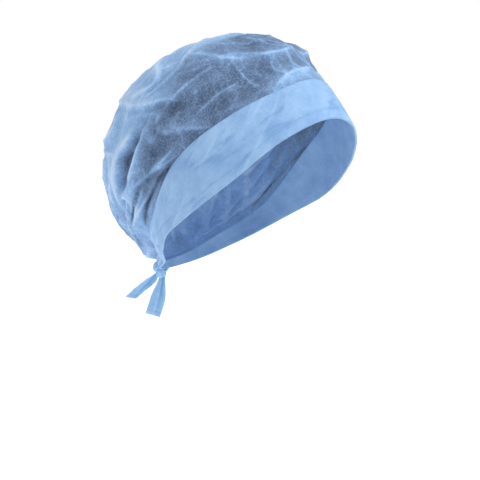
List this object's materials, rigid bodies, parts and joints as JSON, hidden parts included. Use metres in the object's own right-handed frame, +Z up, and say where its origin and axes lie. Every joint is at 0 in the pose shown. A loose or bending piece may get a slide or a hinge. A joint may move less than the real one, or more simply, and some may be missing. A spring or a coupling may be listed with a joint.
{
  "type": "surgical cap",
  "caption": "Tie-back surgical cap of thin blue non-woven cloth, worn form: smooth folded band, sheer gathered crown, knotted ties at the nape.",
  "frame": {"origin": "in the middle of the head's hollow, on the upright line through its widest place, 87 mm below the crown's top", "axes": "+Z up, -Y towards the wearer's brow, -X towards the wearer's right"},
  "size_m": [0.1721, 0.2109, 0.2357],
  "materials": {
    "crown_cloth": "matte",
    "band_cloth": "matte",
    "tie_cloth": "matte"
  },
  "bodies": {
    "root": {"crown": "crown_cloth", "headband": "band_cloth", "knot": "tie_cloth", "tie_tail_right": "tie_cloth", "tie_tail_left": "tie_cloth"}
  },
  "joints": []
}
